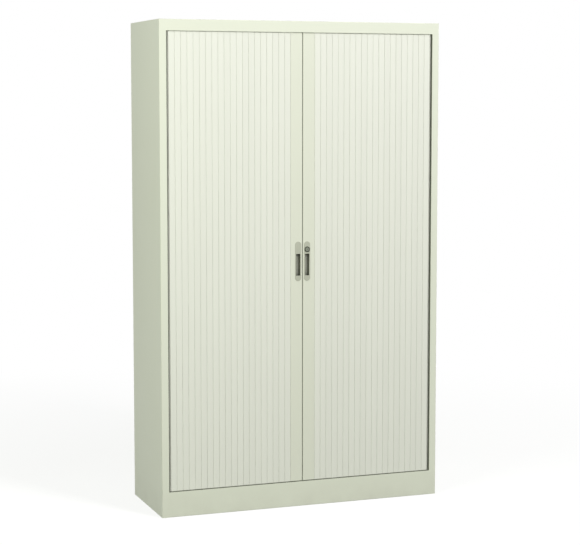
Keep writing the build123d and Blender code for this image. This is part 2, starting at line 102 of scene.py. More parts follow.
# ---- node wiring ----
def linear(colour: Colour) -> tuple[float, float, float, float]:
    """Turn an sRGB colour into the values that a colour socket takes.

    Args:
        colour: Red, green and blue, 0 to 255.

    Returns:
        Linear red, green and blue, with full alpha.
    """
    shares = [value / 255 for value in colour]
    red, green, blue = (
        share / 12.92 if share <= 0.04045 else ((share + 0.055) / 1.055) ** 2.4
        for share in shares
    )
    return red, green, blue, 1.0


@dataclass
class Wiring:
    """A node tree that is being wired up."""

    tree: NodeTree

    def add(self, kind: str, inputs: dict | None = None, **settings: object) -> Node:
        """Add a node.

        Args:
            kind: Node type.
            inputs: Values or sockets by input name or number.
            settings: The node's own settings.

        Returns:
            The new node.
        """
        node = self.tree.nodes.new(kind)
        for name, value in settings.items():
            setattr(node, name, value)
        for name, value in (inputs or {}).items():
            if isinstance(value, NodeSocket):
                self.tree.links.new(value, node.inputs[name])
            else:
                node.inputs[name].default_value = value
        return node

    def group(self, tree: NodeTree, inputs: dict) -> Node:
        """Place a node group and return its node."""
        return self.add("ShaderNodeGroup", inputs, node_tree=tree)

    def math(self, operation: str, *values: float | NodeSocket) -> NodeSocket:
        """Add a Math node and return its result."""
        inputs = dict(enumerate(values))
        return self.add("ShaderNodeMath", inputs, operation=operation).outputs[0]

    def times(self, *values: float | NodeSocket) -> NodeSocket:
        """Multiply values one after the other and return the product."""
        product = self.math("MULTIPLY", *values[:2])
        for value in values[2:]:
            product = self.math("MULTIPLY", product, value)
        return product

    def effect(self, tree: NodeTree, place: NodeSocket, **inputs: float) -> NodeSocket:
        """Place an effect that follows some coordinates and return its first output."""
        return self.group(tree, {"Vector": place, **inputs}).outputs[0]

    def noise(self, vector: NodeSocket, scale: float | NodeSocket, detail: float) -> NodeSocket:
        """Add a noise texture and return its value."""
        inputs = {"Vector": vector, "Scale": scale, "Detail": detail, "Roughness": 0.55}
        return self.add("ShaderNodeTexNoise", inputs).outputs["Fac"]

    def ramp(self, value: NodeSocket, source: Span, target: Span = (0.0, 1.0)) -> NodeSocket:
        """Map a value from one span to another, held at the ends, and return it."""
        inputs = {
            "Value": value,
            "From Min": source[0],
            "From Max": source[1],
            "To Min": target[0],
            "To Max": target[1],
        }
        return self.add("ShaderNodeMapRange", inputs, clamp=True).outputs[0]

    def mix(self, share: float | NodeSocket, first: object, second: object) -> NodeSocket:
        """Mix two colours and return the result."""
        node = self.add("ShaderNodeMix", {0: share, 6: first, 7: second}, data_type="RGBA")
        return node.outputs[2]

    def split(self, vector: NodeSocket) -> tuple[NodeSocket, NodeSocket, NodeSocket]:
        """Split a vector and return its three parts."""
        outputs = self.add("ShaderNodeSeparateXYZ", {0: vector}).outputs
        return outputs[0], outputs[1], outputs[2]

    def join(self, *parts: float | NodeSocket) -> NodeSocket:
        """Join three parts and return the vector."""
        return self.add("ShaderNodeCombineXYZ", dict(enumerate(parts))).outputs[0]

    def scaled(self, vector: NodeSocket, factor: float | NodeSocket) -> NodeSocket:
        """Scale a vector or colour and return the result."""
        inputs = {0: vector, "Scale": factor}
        return self.add("ShaderNodeVectorMath", inputs, operation="SCALE").outputs[0]


SOCKET_KINDS = {"Vector": "NodeSocketVector", "Colour": "NodeSocketColor"}
Wire = Callable[[Wiring, Sockets], Sockets]


def shader_group(inputs: str, outputs: str) -> Callable[[Wire], Callable[[], NodeTree]]:
    """Turn a wiring function into one that gives its shader node group, built once.

    Args:
        inputs: Names of the inputs, parted by spaces.
        outputs: Names of the outputs, parted by spaces.

    Returns:
        The decorator of the wiring function.
    """

    def decorate(wire: Wire) -> Callable[[], NodeTree]:
        """Return the function that gives the group."""

        def give() -> NodeTree:
            """Return the group, new or as made before."""
            made = bpy.data.node_groups.get(wire.__name__)
            if made is not None:
                return made
            tree = bpy.data.node_groups.new(wire.__name__, "ShaderNodeTree")
            for names, way in ((inputs, "INPUT"), (outputs, "OUTPUT")):
                for name in names.split():
                    kind = SOCKET_KINDS.get(name, "NodeSocketFloat")
                    tree.interface.new_socket(name, in_out=way, socket_type=kind)
            wiring = Wiring(tree)
            entry = wiring.add("NodeGroupInput").outputs
            given = {name: entry[name] for name in inputs.split()}
            wiring.add("NodeGroupOutput", wire(wiring, given))
            return tree

        return give

    return decorate


@shader_group("Vector Colour Scale Amount", "Colour Cloud")
def tone_drift(w: Wiring, given: Sockets) -> Sockets:
    """Let a colour drift softly over the surface."""
    cloud = w.noise(given["Vector"], given["Scale"], 3.0)
    low = w.math("SUBTRACT", 1.0, w.times(given["Amount"], 0.5))
    factor = w.math("ADD", low, w.times(cloud, given["Amount"]))
    return {"Colour": w.scaled(given["Colour"], factor), "Cloud": cloud}


@shader_group("Vector Size", "Height")
def fine_skin(w: Wiring, given: Sockets) -> Sockets:
    """Raise the rounded skin of powder coat, or the grain of a moulding."""
    scale = w.math("DIVIDE", 1.0, given["Size"])
    coarse = w.noise(given["Vector"], scale, 1.0)
    fine = w.noise(given["Vector"], w.times(scale, 3.1), 0.0)
    return {"Height": w.math("ADD", coarse, w.times(fine, 0.3))}


@shader_group("Vector Pitch Stretch", "Height Mask")
def draw_lines(w: Wiring, given: Sockets) -> Sockets:
    """Draw the long faint lines that an extrusion die leaves along Z."""
    across, through, up = w.split(given["Vector"])
    place = w.join(across, through, w.times(up, given["Stretch"]))
    lines = w.noise(place, w.math("DIVIDE", 1.0, given["Pitch"]), 2.0)
    return {"Height": lines, "Mask": w.ramp(lines, (0.35, 0.65))}


@shader_group("Vector Width Amount", "Mask")
def edge_wear(w: Wiring, given: Sockets) -> Sockets:
    """Mask broken patches along edges, where hands and boxes rub."""
    rounded = w.add("ShaderNodeBevel", {"Radius": given["Width"]}, samples=4).outputs[0]
    flat = w.add("ShaderNodeNewGeometry").outputs["Normal"]
    inputs = {0: rounded, 1: flat}
    facing = w.add("ShaderNodeVectorMath", inputs, operation="DOT_PRODUCT").outputs["Value"]
    edge = w.ramp(facing, (0.995, 0.86))
    broken = w.ramp(w.noise(given["Vector"], 60.0, 4.0), (0.42, 0.62))
    return {"Mask": w.times(edge, broken, given["Amount"])}


@shader_group("Vector Amount", "Mask")
def settled_dust(w: Wiring, given: Sockets) -> Sockets:
    """Mask dust and scuffs, thickest by the floor."""
    near_floor = w.ramp(w.split(given["Vector"])[2], (DUST_HEIGHT, 0.0))
    cloud = w.ramp(w.noise(given["Vector"], 9.0, 6.0), (0.3, 0.75))
    return {"Mask": w.times(near_floor, cloud, given["Amount"])}


@shader_group("Vector Reach Amount", "Mask")
def painted_recess_shade(w: Wiring, given: Sockets) -> Sockets:
    """Mask painted shade in recesses, darker where ambient occlusion finds little open sky, broken
    up a little by noise.
    """
    inputs = {"Distance": given["Reach"]}
    open_sky = w.add("ShaderNodeAmbientOcclusion", inputs, samples=8).outputs["AO"]
    cloud = w.ramp(w.noise(given["Vector"], 110.0, 3.0), (0.25, 0.75), (0.85, 1.0))
    return {"Mask": w.times(w.ramp(open_sky, (0.8, 0.28)), cloud, given["Amount"])}


@shader_group("Vector Amount", "Mask")
def fine_scratches(w: Wiring, given: Sockets) -> Sockets:
    """Mask sparse thin scratches in two crossing directions."""
    masks = []
    for turn in (0.5, -0.9):
        inputs = {"Vector": given["Vector"], "Rotation": (turn,) * 3, "Scale": (1.0, 1.0, 0.06)}
        turned_place = w.add("ShaderNodeMapping", inputs).outputs[0]
        masks.append(w.ramp(w.noise(turned_place, 190.0, 0.0), (0.74, 0.79)))
    patch = w.ramp(w.noise(given["Vector"], 6.0, 2.0), (0.45, 0.6))
    return {"Mask": w.times(w.math("MAXIMUM", *masks), patch, given["Amount"])}


@shader_group("Vector Scale", "Patch Cloud")
def plated_spangle(w: Wiring, given: Sockets) -> Sockets:
    """Part a plated surface into small irregular patches."""
    bend = w.scaled(w.join(*[w.noise(given["Vector"], 120.0, 2.0)] * 3), 0.004)
    inputs = {0: given["Vector"], 1: bend}
    bent = w.add("ShaderNodeVectorMath", inputs, operation="ADD").outputs[0]
    cells = w.add("ShaderNodeTexVoronoi", {"Vector": bent, "Scale": given["Scale"]})
    patch = w.split(cells.outputs["Color"])[0]
    return {"Patch": patch, "Cloud": w.noise(given["Vector"], 35.0, 5.0)}


# ---- finishes ----
DUST = linear((168, 163, 148))
# Colour of the painted shade in recesses.
RECESS_SHADE = linear((38, 40, 28))


@dataclass(frozen=True)
class Finish:
    """A surface finish. Each kind of finish wires its own material."""

    name: str
    colour: Colour
    roughness: float = 0.5
    # The next two fields set painted shade in recesses, darker where ambient occlusion finds little
    # open sky; a reach of 0 leaves it out.
    shade_reach: float = 0.0
    grime: float = 1.0

    def material(self) -> Material:
        """Return the finish as a material, built once.

        The prefix keeps it apart from the frame's own materials, which carry the slots' names.
        """
        label = f"finish_{self.name}"
        made = bpy.data.materials.get(label)
        if made is None:
            made = bpy.data.materials.new(label)
            made.use_nodes = True
            made.diffuse_color = linear(self.colour)
            made.node_tree.nodes.clear()
            wiring = Wiring(made.node_tree)
            shader = wiring.add("ShaderNodeBsdfPrincipled", {"Roughness": self.roughness})
            wiring.add("ShaderNodeOutputMaterial", {"Surface": shader.outputs[0]})
            self.wire(wiring, shader)
        return made

    def wire(self, w: Wiring, shader: Node) -> None:
        """Wire the finish's own nodes into its shader."""
        raise NotImplementedError

    def place(self, w: Wiring) -> NodeSocket:
        """Return the coordinates that the patterns follow."""
        return w.add("ShaderNodeTexCoord").outputs["Object"]

    def drift(self, w: Wiring, place: NodeSocket, scale: float, amount: float) -> Node:
        """Place the drifting base colour and return its node."""
        inputs = {"Vector": place, "Colour": linear(self.colour), "Scale": scale, "Amount": amount}
        return w.group(tone_drift(), inputs)

    def shade_recesses(self, w: Wiring, place: NodeSocket, colour: NodeSocket) -> NodeSocket:
        """Darken a colour with painted shade in recesses, if this finish has it, and return it."""
        if not self.shade_reach:
            return colour
        mask = w.effect(painted_recess_shade(), place, Reach=self.shade_reach, Amount=self.grime)
        return w.mix(mask, colour, RECESS_SHADE)

    def vary(
        self, w: Wiring, value: NodeSocket, source: Span, less: float, more: float
    ) -> NodeSocket:
        """Vary the roughness by a value and return it.

        Args:
            w: Wiring of the material.
            value: What it follows.
            source: Span of the value.
            less: How far the roughness falls at the span's start.
            more: How far it rises at the span's end.

        Returns:
            The varied roughness.
        """
        return w.ramp(value, source, (self.roughness - less, self.roughness + more))

    def connect(self, w: Wiring, shader: Node, colour: NodeSocket, rough: NodeSocket) -> None:
        """Feed a colour and a roughness into the shader."""
        w.tree.links.new(colour, shader.inputs["Base Color"])
        w.tree.links.new(rough, shader.inputs["Roughness"])

    def bump(self, w: Wiring, shader: Node, height: NodeSocket, depth: float) -> None:
        """Feed a height of 0 to 1, that deep in metres, into the shader's normal."""
        node = w.add("ShaderNodeBump", {"Height": height, "Distance": depth, "Strength": 1.0})
        w.tree.links.new(node.outputs[0], shader.inputs["Normal"])


@dataclass(frozen=True)
class PowderCoat(Finish):
    """Satin powder coat on sheet steel."""

    skin: float = 0.0022
    skin_depth: float = 0.000012
    dust: float = 0.22
    wear: float = 0.35

    def wire(self, w: Wiring, shader: Node) -> None:
        """Wire drifting tone, dust by the floor, rubbed edges and the coat's skin."""
        place = self.place(w)
        base = self.drift(w, place, 2.4, 0.03)
        dust = w.effect(settled_dust(), place, Amount=self.dust)
        rubbed = w.effect(edge_wear(), place, Width=0.0016, Amount=self.wear)
        scratch = w.effect(fine_scratches(), place, Amount=0.5)
        bright = w.scaled(base.outputs["Colour"], 1.06)
        colour = w.mix(rubbed, w.mix(dust, base.outputs["Colour"], DUST), bright)
        rough = self.vary(w, base.outputs["Cloud"], (0.2, 0.8), 0.04, 0.04)
        rough = w.math("ADD", rough, w.times(dust, 0.25))
        rough = w.math("SUBTRACT", rough, w.times(w.math("ADD", rubbed, scratch), 0.12))
        self.connect(w, shader, colour, rough)
        skin = w.effect(fine_skin(), place, Size=self.skin)
        self.bump(w, shader, w.math("SUBTRACT", skin, w.times(scratch, 0.6)), self.skin_depth)


@dataclass(frozen=True)
class ExtrudedPlastic(Finish):
    """Drawn plastic or aluminium profile, with lines along its length."""

    pitch: float = 0.0012
    line_depth: float = 0.000012
    own_tone: float = 0.0
    follows_slats: bool = False

    def place(self, w: Wiring) -> NodeSocket:
        """Return the slats' own coordinates where the piece has them."""
        if self.follows_slats:
            return w.add("ShaderNodeAttribute", attribute_name="rest_place").outputs["Vector"]
        return super().place(w)

    def wire(self, w: Wiring, shader: Node) -> None:
        """Wire the draw lines, each slat's own tone, and painted shade in recesses where the finish
        has it.
        """
        place = self.place(w)
        base = self.drift(w, place, 3.0, 0.025)
        inputs = {"Vector": place, "Pitch": self.pitch, "Stretch": 0.012}
        lines = w.group(draw_lines(), inputs)
        colour = base.outputs["Colour"]
        if self.own_tone:
            tone = w.add("ShaderNodeAttribute", attribute_name="slat_tone").outputs["Fac"]
            spread = (1.0 - self.own_tone, 1.0 + self.own_tone)
            colour = w.scaled(colour, w.ramp(tone, (0.0, 1.0), spread))
        colour = w.scaled(colour, w.ramp(lines.outputs["Mask"], (0.0, 1.0), (0.992, 1.008)))
        colour = self.shade_recesses(w, place, colour)
        scratch = w.effect(fine_scratches(), place, Amount=0.6)
        rough = self.vary(w, lines.outputs["Mask"], (0.0, 1.0), 0.05, 0.05)
        rough = w.math("ADD", rough, w.times(scratch, 0.1))
        self.connect(w, shader, colour, rough)
        height = w.math("SUBTRACT", lines.outputs["Height"], w.times(scratch, 0.4))
        self.bump(w, shader, height, self.line_depth)


@dataclass(frozen=True)
class MouldedPlastic(Finish):
    """Injection moulding with a fine eroded grain, polished where fingers go."""

    grain: float = 0.0007
    grain_depth: float = 0.00002

    def wire(self, w: Wiring, shader: Node) -> None:
        """Wire the grain, the drifting tone, the polished edges and painted shade in recesses."""
        place = self.place(w)
        base = self.drift(w, place, 14.0, 0.06)
        rubbed = w.effect(edge_wear(), place, Width=0.0008, Amount=0.6)
        scratch = w.effect(fine_scratches(), place, Amount=0.5)
        bright = w.scaled(base.outputs["Colour"], 1.12)
        colour = w.mix(w.math("MAXIMUM", rubbed, scratch), base.outputs["Colour"], bright)
        colour = self.shade_recesses(w, place, colour)
        rough = self.vary(w, base.outputs["Cloud"], (0.2, 0.8), 0.05, 0.05)
        rough = w.math("SUBTRACT", rough, w.times(rubbed, 0.15))
        self.connect(w, shader, colour, rough)
        self.bump(w, shader, w.effect(fine_skin(), place, Size=self.grain), self.grain_depth)


@dataclass(frozen=True)
class ShadeStripPile(Finish):
    """Short dense pile texture, its tufts in rows, for the dark strips that paint shade into gaps.
    """

    tuft: float = 0.0006

    def wire(self, w: Wiring, shader: Node) -> None:
        """Wire the tufts, their uneven tone and the soft sheen of their tips."""
        shader.inputs["Sheen Weight"].default_value = 0.25
        place = self.place(w)
        base = self.drift(w, place, 40.0, 0.18)
        tufts = w.effect(fine_skin(), place, Size=self.tuft)
        colour = w.scaled(base.outputs["Colour"], w.ramp(tufts, (0.35, 0.95), (0.7, 1.25)))
        rough = w.ramp(tufts, (0.35, 0.95), (self.roughness, self.roughness - 0.1))
        self.connect(w, shader, colour, rough)
        self.bump(w, shader, tufts, 0.0003)


@dataclass(frozen=True)
class PlatedMetal(Finish):
    """Zinc plated steel, with a patchy passivated sheen."""

    def wire(self, w: Wiring, shader: Node) -> None:
        """Wire the patches, the clouded sheen and the scratches."""
        shader.inputs["Metallic"].default_value = 1.0
        place = self.place(w)
        base = self.drift(w, place, 30.0, 0.2)
        patches = w.group(plated_spangle(), {"Vector": place, "Scale": 260.0})
        tone = w.ramp(patches.outputs["Patch"], (0.0, 1.0), (0.9, 1.06))
        scratch = w.effect(fine_scratches(), place, Amount=0.7)
        colour = w.mix(scratch, w.scaled(base.outputs["Colour"], tone), linear((225, 225, 220)))
        rough = self.vary(w, patches.outputs["Cloud"], (0.3, 0.7), 0.1, 0.12)
        self.connect(w, shader, colour, rough)
        self.bump(w, shader, patches.outputs["Cloud"], 0.00003)


@dataclass(frozen=True)
class TurnedMetal(Finish):
    """Dark plated metal with turning marks round an axis along Y."""

    centre: Span = (0.0195, 1.06)

    def wire(self, w: Wiring, shader: Node) -> None:
        """Wire the rings of the turning tool, bright worn edges, and painted shade in recesses
        where the finish has it.
        """
        shader.inputs["Metallic"].default_value = 1.0
        place = self.place(w)
        across, _, up = w.split(place)
        flat = w.join(
            w.math("SUBTRACT", across, self.centre[0]), 0.0, w.math("SUBTRACT", up, self.centre[1])
        )
        reach = w.add("ShaderNodeVectorMath", {0: flat}, operation="LENGTH").outputs["Value"]
        rings = w.noise(w.join(reach, 0.0, 0.0), 4200.0, 2.0)
        base = self.drift(w, place, 160.0, 0.25)
        rubbed = w.effect(edge_wear(), place, Width=0.0005, Amount=0.8)
        tone = w.scaled(base.outputs["Colour"], w.ramp(rings, (0.3, 0.7), (0.88, 1.12)))
        colour = self.shade_recesses(w, place, w.mix(rubbed, tone, linear((176, 178, 168))))
        self.connect(w, shader, colour, self.vary(w, rings, (0.3, 0.7), 0.06, 0.08))
        self.bump(w, shader, rings, 0.000012)


PAINT = PowderCoat("goose_grey_powder_coat", (224, 227, 210), 0.44)
# A touch darker than PAINT: painted shade for the lead slat, which stands back from the frame's
# face.
LEAD_PAINT = PowderCoat("lead_slat_powder_coat", (223, 225, 209), 0.4, dust=0.1)
# The slats carry a little painted shade in recesses, darker by the hems and in the seams.
SLATS = ExtrudedPlastic(
    "ivory_slat_plastic", (229, 230, 219), 0.42, shade_reach=0.012, grime=0.05,
    own_tone=0.012, follows_slats=True,
)
TRACK = ExtrudedPlastic("grey_track_plastic", (132, 134, 124), 0.38, pitch=0.002)
NYLON = MouldedPlastic("natural_nylon", (203, 203, 193), 0.45)
# The plate carries painted shade in recesses, darkening the finger cup's walls and floor.
PLATE = MouldedPlastic("grey_plate_moulding", (182, 184, 167), 0.5, shade_reach=0.03)
# Dark colour of the strips that stand in for the shadows in the gaps round the curtain and between
# the doors: painted shade.
SHADE_PILE = ShadeStripPile("painted_shade_pile", (84, 87, 72), 0.9)
PAD_RUBBER = MouldedPlastic("foot_pad_plastic", (44, 45, 46), 0.6)
BEZEL = TurnedMetal("dark_lock_metal", (76, 80, 68), 0.4)
# The plug carries painted shade in recesses, darkening its keyway.
CYLINDER = TurnedMetal("lock_plug_metal", (132, 137, 122), 0.4, shade_reach=0.004)
ZINC = PlatedMetal("bright_zinc", (178, 179, 174), 0.34)


# ---- mesh work ----
def box(bm: BMesh, x: Span, y: Span, z: Span) -> list[BMVert]:
    """Add a closed box between low and high places, and return its vertices."""
    spans = (x, y, z)
    made = bmesh.ops.create_cube(bm, size=1.0)["verts"]
    bmesh.ops.scale(bm, vec=[high - low for low, high in spans], verts=made)
    bmesh.ops.translate(bm, vec=[(high + low) / 2 for low, high in spans], verts=made)
    return made


def ring(bm: BMesh, radius: float, steps: int, filled: bool = True) -> list[BMVert]:
    """Add a circle that faces -Y, with no corner on its X axis, and return its vertices."""
    made = bmesh.ops.create_circle(bm, cap_ends=filled, radius=radius, segments=steps)["verts"]
    turn = Matrix.Rotation(math.pi / 2, 4, "X") @ Matrix.Rotation(math.pi / steps, 4, "Z")
    bmesh.ops.transform(bm, matrix=turn, verts=made)
    return made


@dataclass(frozen=True)
class RoundedOutline:
    """Flat outline in X and Z with rounded corners."""

    half: Span
    corner: float
    middle: Vector

    def fit(self, verts: Iterable[BMVert], last: "RoundedOutline | None" = None) -> None:
        """Move points onto this outline.

        Args:
            verts: Points on a circle of the corner's radius round the origin, or on last.
            last: The outline that they are on.
        """
        for vert in verts:
            for axis, half in ((0, self.half[0]), (2, self.half[1])):
                where = vert.co[axis] - (last.middle[axis] if last else 0.0)
                reach = (last.half[axis // 2] - last.corner) if last else 0.0
                bend = abs(where) - reach
                size = self.corner / last.corner if last else 1.0
                away = half - self.corner + bend * size
                vert.co[axis] = self.middle[axis] + math.copysign(away, where)
            vert.co.y = self.middle.y

    def start(self, bm: BMesh, steps: int) -> list[BMEdge]:
        """Add the outline as an open loop.

        Args:
            bm: Mesh that it is added to.
            steps: Number of its points, a multiple of four.

        Returns:
            Its edges.
        """
        made = ring(bm, self.corner, steps, filled=False)
        self.fit(made)
        return list({edge for vert in made for edge in vert.link_edges})

    def grow(self, bm: BMesh, edges: list[BMEdge], last: "RoundedOutline") -> list[BMEdge]:
        """Extrude another outline's loop onto this one.

        Args:
            bm: Mesh that holds the loop.
            edges: The other outline's edges.
            last: The other outline.

        Returns:
            The new loop's edges.
        """
        made = bmesh.ops.extrude_edge_only(bm, edges=edges)["geom"]
        verts = {part for part in made if isinstance(part, BMVert)}
        self.fit(verts, last)
        return [
            part for part in made
            if isinstance(part, BMEdge) and part.verts[0] in verts and part.verts[1] in verts
        ]


def turned(bm: BMesh, outline: Sequence[Span], steps: int, closed: bool) -> list[BMVert]:
    """Spin an outline round the Z axis.

    Args:
        bm: Mesh that it is added to.
        outline: Radius and height of each point.
        steps: Number of steps of the full turn.
        closed: Whether the outline's last point joins its first.

    Returns:
        The new vertices.
    """
    before = set(bm.verts)
    points = [bm.verts.new((radius, 0.0, height)) for radius, height in outline]
    pairs = list(zip(points, points[1:]))
    if closed:
        pairs.append((points[-1], points[0]))
    edges = [bm.edges.new(pair) for pair in pairs]
    bmesh.ops.spin(
        bm, geom=[*points, *edges], cent=(0, 0, 0), axis=(0, 0, 1), dvec=(0, 0, 0),
        angle=math.tau, steps=steps, use_merge=True, use_duplicate=False,
    )
    made = [vert for vert in bm.verts if vert not in before]
    bmesh.ops.remove_doubles(bm, verts=made, dist=1e-6)
    return [vert for vert in bm.verts if vert not in before]


def faces_where(bm: BMesh, test: Callable[[BMFace, Vector], bool]) -> list[BMFace]:
    """Return the faces whose middle passes a test."""
    bm.normal_update()
    return [face for face in bm.faces if test(face, face.calc_center_median())]


def edges_where(bm: BMesh, test: Callable[[Vector, Vector], bool]) -> list[BMEdge]:
    """Return the edges whose two ends pass a test."""
    return [edge for edge in bm.edges if test(edge.verts[0].co, edge.verts[1].co)]


def near(first: float, second: float) -> bool:
    """Return whether two places are the same to a hundredth of a millimetre."""
    return abs(first - second) < 1e-5


def cut(bm: BMesh, faces: Iterable[BMFace], point: Vector, normal: Vector) -> None:
    """Cut only some faces along a plane."""
    faces = list(faces)
    edges = {edge for face in faces for edge in face.edges}
    verts = {vert for face in faces for vert in face.verts}
    bmesh.ops.bisect_plane(bm, geom=[*verts, *edges, *faces], plane_co=point, plane_no=normal)


def pull(bm: BMesh, faces: Iterable[BMFace], move: Vector) -> None:
    """Extrude faces by a move.

    Faces that are part of a wall leave nothing behind, so that the shell stays one closed skin.
    A face on its own stays, as the far end of the solid that it becomes.

    Args:
        bm: Mesh that holds the faces.
        faces: The faces.
        move: How far they move.
    """
    faces = set(faces)
    in_wall = any(set(edge.link_faces) - faces for face in faces for edge in face.edges)
    made = bmesh.ops.extrude_face_region(bm, geom=list(faces))["geom"]
    verts = [part for part in made if isinstance(part, BMVert)]
    bmesh.ops.translate(bm, vec=move, verts=verts)
    if in_wall:
        bmesh.ops.delete(bm, geom=list(faces), context="FACES")


def round_off(bm: BMesh, edges: Iterable[BMEdge], width: float, segments: int = 3) -> None:
    """Round edges off."""
    bmesh.ops.bevel(
        bm, geom=list(edges), offset=width, offset_type="OFFSET", segments=segments,
        profile=0.5, affect="EDGES", clamp_overlap=True, material=-1,
    )


def pocket(bm: BMesh, y: float, x: Span, z: Span, depth: float) -> None:
    """Sink or raise a rectangle of the flat face at a height of y.

    Args:
        bm: Mesh that it is cut in.
        y: Place of the flat face.
        x: Left and right side of the rectangle.
        z: Lower and upper side of the rectangle.
        depth: How far the rectangle moves along +Y.
    """

    def flat(_: BMFace, middle: Vector) -> bool:
        """Return whether a face is part of the flat face."""
        return near(middle.y, y)

    for place in x:
        cut(bm, faces_where(bm, flat), Vector((place, y, 0)), Vector((1, 0, 0)))
    for place in z:
        cut(bm, faces_where(bm, flat), Vector((0, y, place)), Vector((0, 0, 1)))
    inside = faces_where(
        bm,
        lambda face, middle: near(middle.y, y)
        and x[0] < middle.x < x[1]
        and z[0] < middle.z < z[1],
    )
    pull(bm, inside, Vector((0, depth, 0)))


@dataclass(frozen=True)
class Piece:
    """Name, carrier and finish of a new piece."""

    name: str
    body: str
    finish: Finish
    slot: Slot
    replaces: tuple[str, ...] = ()

    def make(self, bm: BMesh) -> Object:
        """Turn a mesh into the finished piece.

        Args:
            bm: The piece's mesh, in place. It is freed.

        Returns:
            The piece's object.
        """
        bmesh.ops.recalc_face_normals(bm, faces=bm.faces[:])
        mesh = bpy.data.meshes.new(self.name)
        bm.to_mesh(mesh)
        bm.free()
        mesh.shade_smooth()
        mesh.set_sharp_from_angle(angle=SMOOTH_ANGLE)
        mesh.materials.append(self.finish.material())
        piece = bpy.data.objects.new(self.name, mesh)
        bpy.context.scene.collection.objects.link(piece)
        even_shading(piece)
        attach(piece, self.body)
        if self.replaces:
            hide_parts(*self.replaces)
        log.info("%s: %d faces on %s", self.name, len(mesh.polygons), self.body)
        return piece


def even_shading(piece: Object) -> None:
    """Let a piece's large flat faces stay flat beside their rounded edges."""
    shading = piece.modifiers.new("even_shading", "WEIGHTED_NORMAL")
    shading.keep_sharp = True


def drill(piece: Object, x: float, z: float, radius: float) -> None:
    """Drill a round hole along Y through a piece.

    Args:
        piece: The piece, in place.
        x: Place of the hole's axis.
        z: Height of the hole's axis.
        radius: Radius of the hole.
    """
    bm = bmesh.new()
    made = ring(bm, radius, DRILL_STEPS)
    bmesh.ops.translate(bm, vec=(x, DRILL_START, z), verts=made)
    pull(bm, bm.faces[:], Vector((0, DRILL_REACH, 0)))
    bmesh.ops.recalc_face_normals(bm, faces=bm.faces[:])
    mesh = bpy.data.meshes.new("drill")
    bm.to_mesh(mesh)
    bm.free()
    cutter = bpy.data.objects.new("drill", mesh)
    bpy.context.scene.collection.objects.link(cutter)
    piece.modifiers.clear()
    hole = piece.modifiers.new("hole", "BOOLEAN")
    hole.operation = "DIFFERENCE"
    hole.solver = "EXACT"
    hole.use_self = True
    hole.object = cutter
    drilled = bpy.data.meshes.new_from_object(
        piece.evaluated_get(bpy.context.evaluated_depsgraph_get())
    )
    piece.modifiers.clear()
    drilled.name = piece.name
    piece.data = drilled
    even_shading(piece)
    bpy.data.objects.remove(cutter)


# ---- carcass ----
@dataclass(frozen=True)
class Carcass:
    """Folded steel body, its tracks, shelves and small metal parts."""

    painted: tuple[str, ...] = (
        "side_panel_left", "side_panel_right", "top_panel", "bottom_rail", "base_pan", "top_pan",
        "back_panel", "liner_left", "liner_right", "inner_back", "floor_tray",
        "shelf_1", "shelf_2", "shelf_3", "shelf_4",
    )
    drawn: tuple[str, ...] = (
        "track_bottom_left", "track_bottom_right", "track_top_left", "track_top_right",
    )
    moulded: tuple[str, ...] = ("access_caps", "track_stops", "shoes_left", "shoes_right")
    plated: tuple[str, ...] = (
        "lock_nut", "lock_hook", "hook_screw", "striker", "shelf_clips", "foot_brackets",
        "foot_nuts",
    )

    def dress(self) -> None:
        """Give each kept node its finish."""
        for names, finish in (
            (self.painted, PAINT),
            (self.drawn, TRACK),
            (self.moulded, NYLON),
            (self.plated, ZINC),
        ):
            for name in names:
                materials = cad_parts[name].data.materials
                materials.clear()
                materials.append(finish.material())
                log.info("%s: %s", name, finish.name)


